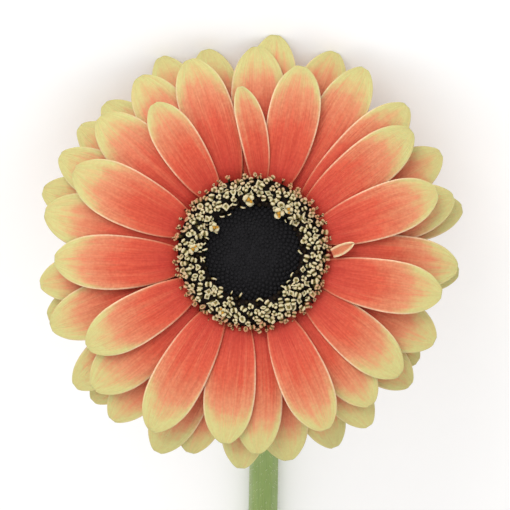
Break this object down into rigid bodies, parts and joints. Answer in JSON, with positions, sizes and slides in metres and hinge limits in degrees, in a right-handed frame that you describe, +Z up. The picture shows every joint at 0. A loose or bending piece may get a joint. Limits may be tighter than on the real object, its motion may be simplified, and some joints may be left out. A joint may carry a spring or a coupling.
{
  "type": "cut gerbera",
  "caption": "Cut gerbera lying down: a layered head of coral petals with pale tips, a cream ring round a dark eye, green bracts and a bare green stem.",
  "frame": {"origin": "on the surface that the flower lies on, under the middle of its bounding box", "axes": "+Z up; +Y from the head along the lying stem to its cut end; the face of the head looks towards -Y and up"},
  "size_m": [0.1068, 0.359, 0.071],
  "materials": {
    "petal": "velvety petal, coral red at the eye, yellow-green at the tip",
    "open_floret": "matt cream florets with gold pollen",
    "closed_floret": "near-black closed buds with a soft sheen",
    "receptacle": "pale green flesh",
    "bract": "matt green, finely hairy",
    "stem": "fresh green, faintly ribbed, finely hairy"
  },
  "bodies": {
    "root": {"ray_floret_01": "petal", "ray_floret_02": "petal", "ray_floret_03": "petal", "ray_floret_04": "petal", "ray_floret_05": "petal", "ray_floret_06": "petal", "ray_floret_07": "petal", "ray_floret_08": "petal", "ray_floret_09": "petal", "ray_floret_10": "petal", "ray_floret_11": "petal", "ray_floret_12": "petal", "ray_floret_13": "petal", "ray_floret_14": "petal", "ray_floret_15": "petal", "ray_floret_16": "petal", "ray_floret_17": "petal", "ray_floret_18": "petal", "ray_floret_19": "petal", "ray_floret_20": "petal", "ray_floret_21": "petal", "ray_floret_22": "petal", "ray_floret_23": "petal", "ray_floret_24": "petal", "ray_floret_25": "petal", "ray_floret_26": "petal", "ray_floret_27": "petal", "ray_floret_28": "petal", "ray_floret_29": "petal", "ray_floret_30": "petal", "ray_floret_31": "petal", "ray_floret_32": "petal", "ray_floret_33": "petal", "ray_floret_34": "petal", "ray_floret_35": "petal", "ray_floret_36": "petal", "ray_floret_37": "petal", "ray_floret_38": "petal", "ray_floret_39": "petal", "ray_floret_40": "petal", "ray_floret_41": "petal", "ray_floret_42": "petal", "ray_floret_43": "petal", "ray_floret_44": "petal", "ray_floret_45": "petal", "ray_floret_46": "petal", "ray_floret_47": "petal", "ray_floret_48": "petal", "ray_floret_49": "petal", "ray_floret_50": "petal", "ray_floret_51": "petal", "inner_ray_floret": "open_floret", "open_florets": "open_floret", "closed_florets": "closed_floret", "receptacle": "receptacle", "inner_bracts": "bract", "outer_bracts": "bract", "stem": "stem"}
  },
  "joints": []
}
